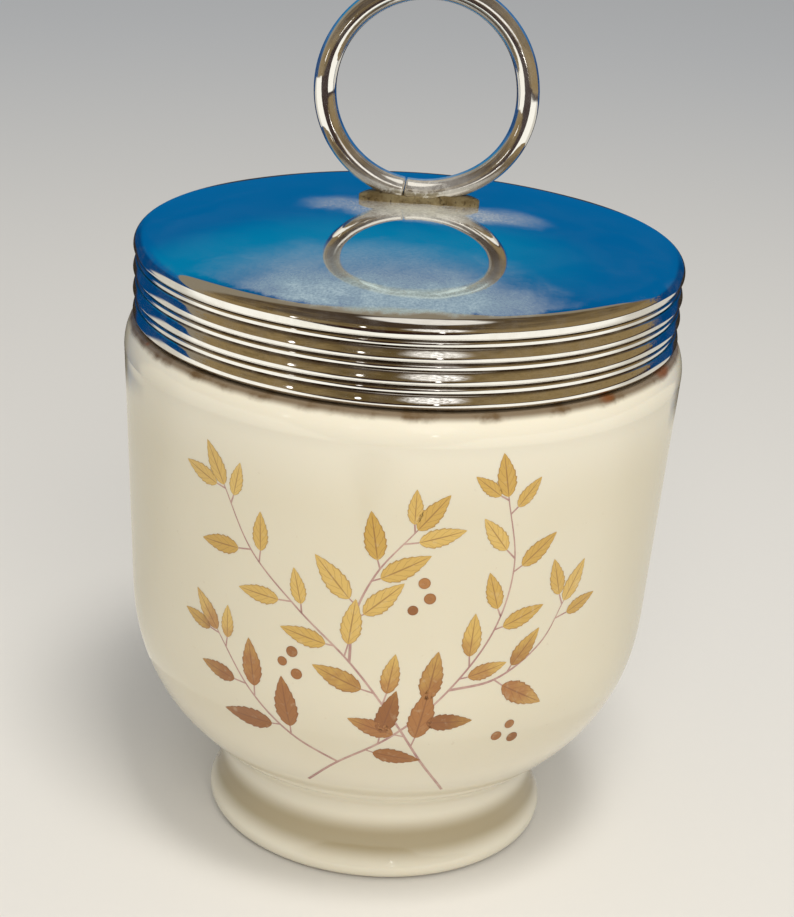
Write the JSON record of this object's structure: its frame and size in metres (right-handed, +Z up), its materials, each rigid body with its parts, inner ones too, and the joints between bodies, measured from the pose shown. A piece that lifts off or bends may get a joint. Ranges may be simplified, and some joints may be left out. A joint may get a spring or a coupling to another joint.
{
  "type": "egg coddler",
  "caption": "Footed porcelain cup with a threaded neck and a screw-on polished metal lid, lifted by a wire ring, for cooking an egg in hot water.",
  "frame": {"origin": "middle of the face that the foot stands on", "axes": "+Z up along the cup's axis; the ring lies in the X-Z plane and is seen face on along +Y"},
  "size_m": [0.0634, 0.0634, 0.1005],
  "materials": {
    "porcelain": "glazed",
    "collar_metal": "dull",
    "seal_rubber": "matt",
    "lid_metal": "mirror polish with haze and fine scratches",
    "ring_wire": "polished",
    "solder": "rough, tarnished"
  },
  "bodies": {
    "cup": {"cup": "porcelain"},
    "seal": {"lid_seal": "seal_rubber"},
    "lid": {"lid_cap": "lid_metal", "thread_collar": "collar_metal", "lift_ring": "ring_wire", "ring_solder": "solder"}
  },
  "joints": [
    {"name": "lid_rise", "type": "slide", "parent": "cup", "child": "seal", "axis": [0, 0, 1], "range_m": [0, 0.009]},
    {"name": "lid_turn", "type": "hinge", "parent": "seal", "child": "lid", "pos_m": [0, 0, 0.066], "axis": [0, 0, 1], "range_deg": [0, 1080]}
  ],
  "couplings": [
    {"joint": "lid_rise", "follows": "lid_turn", "m_per_rad": 0.00047746}
  ]
}
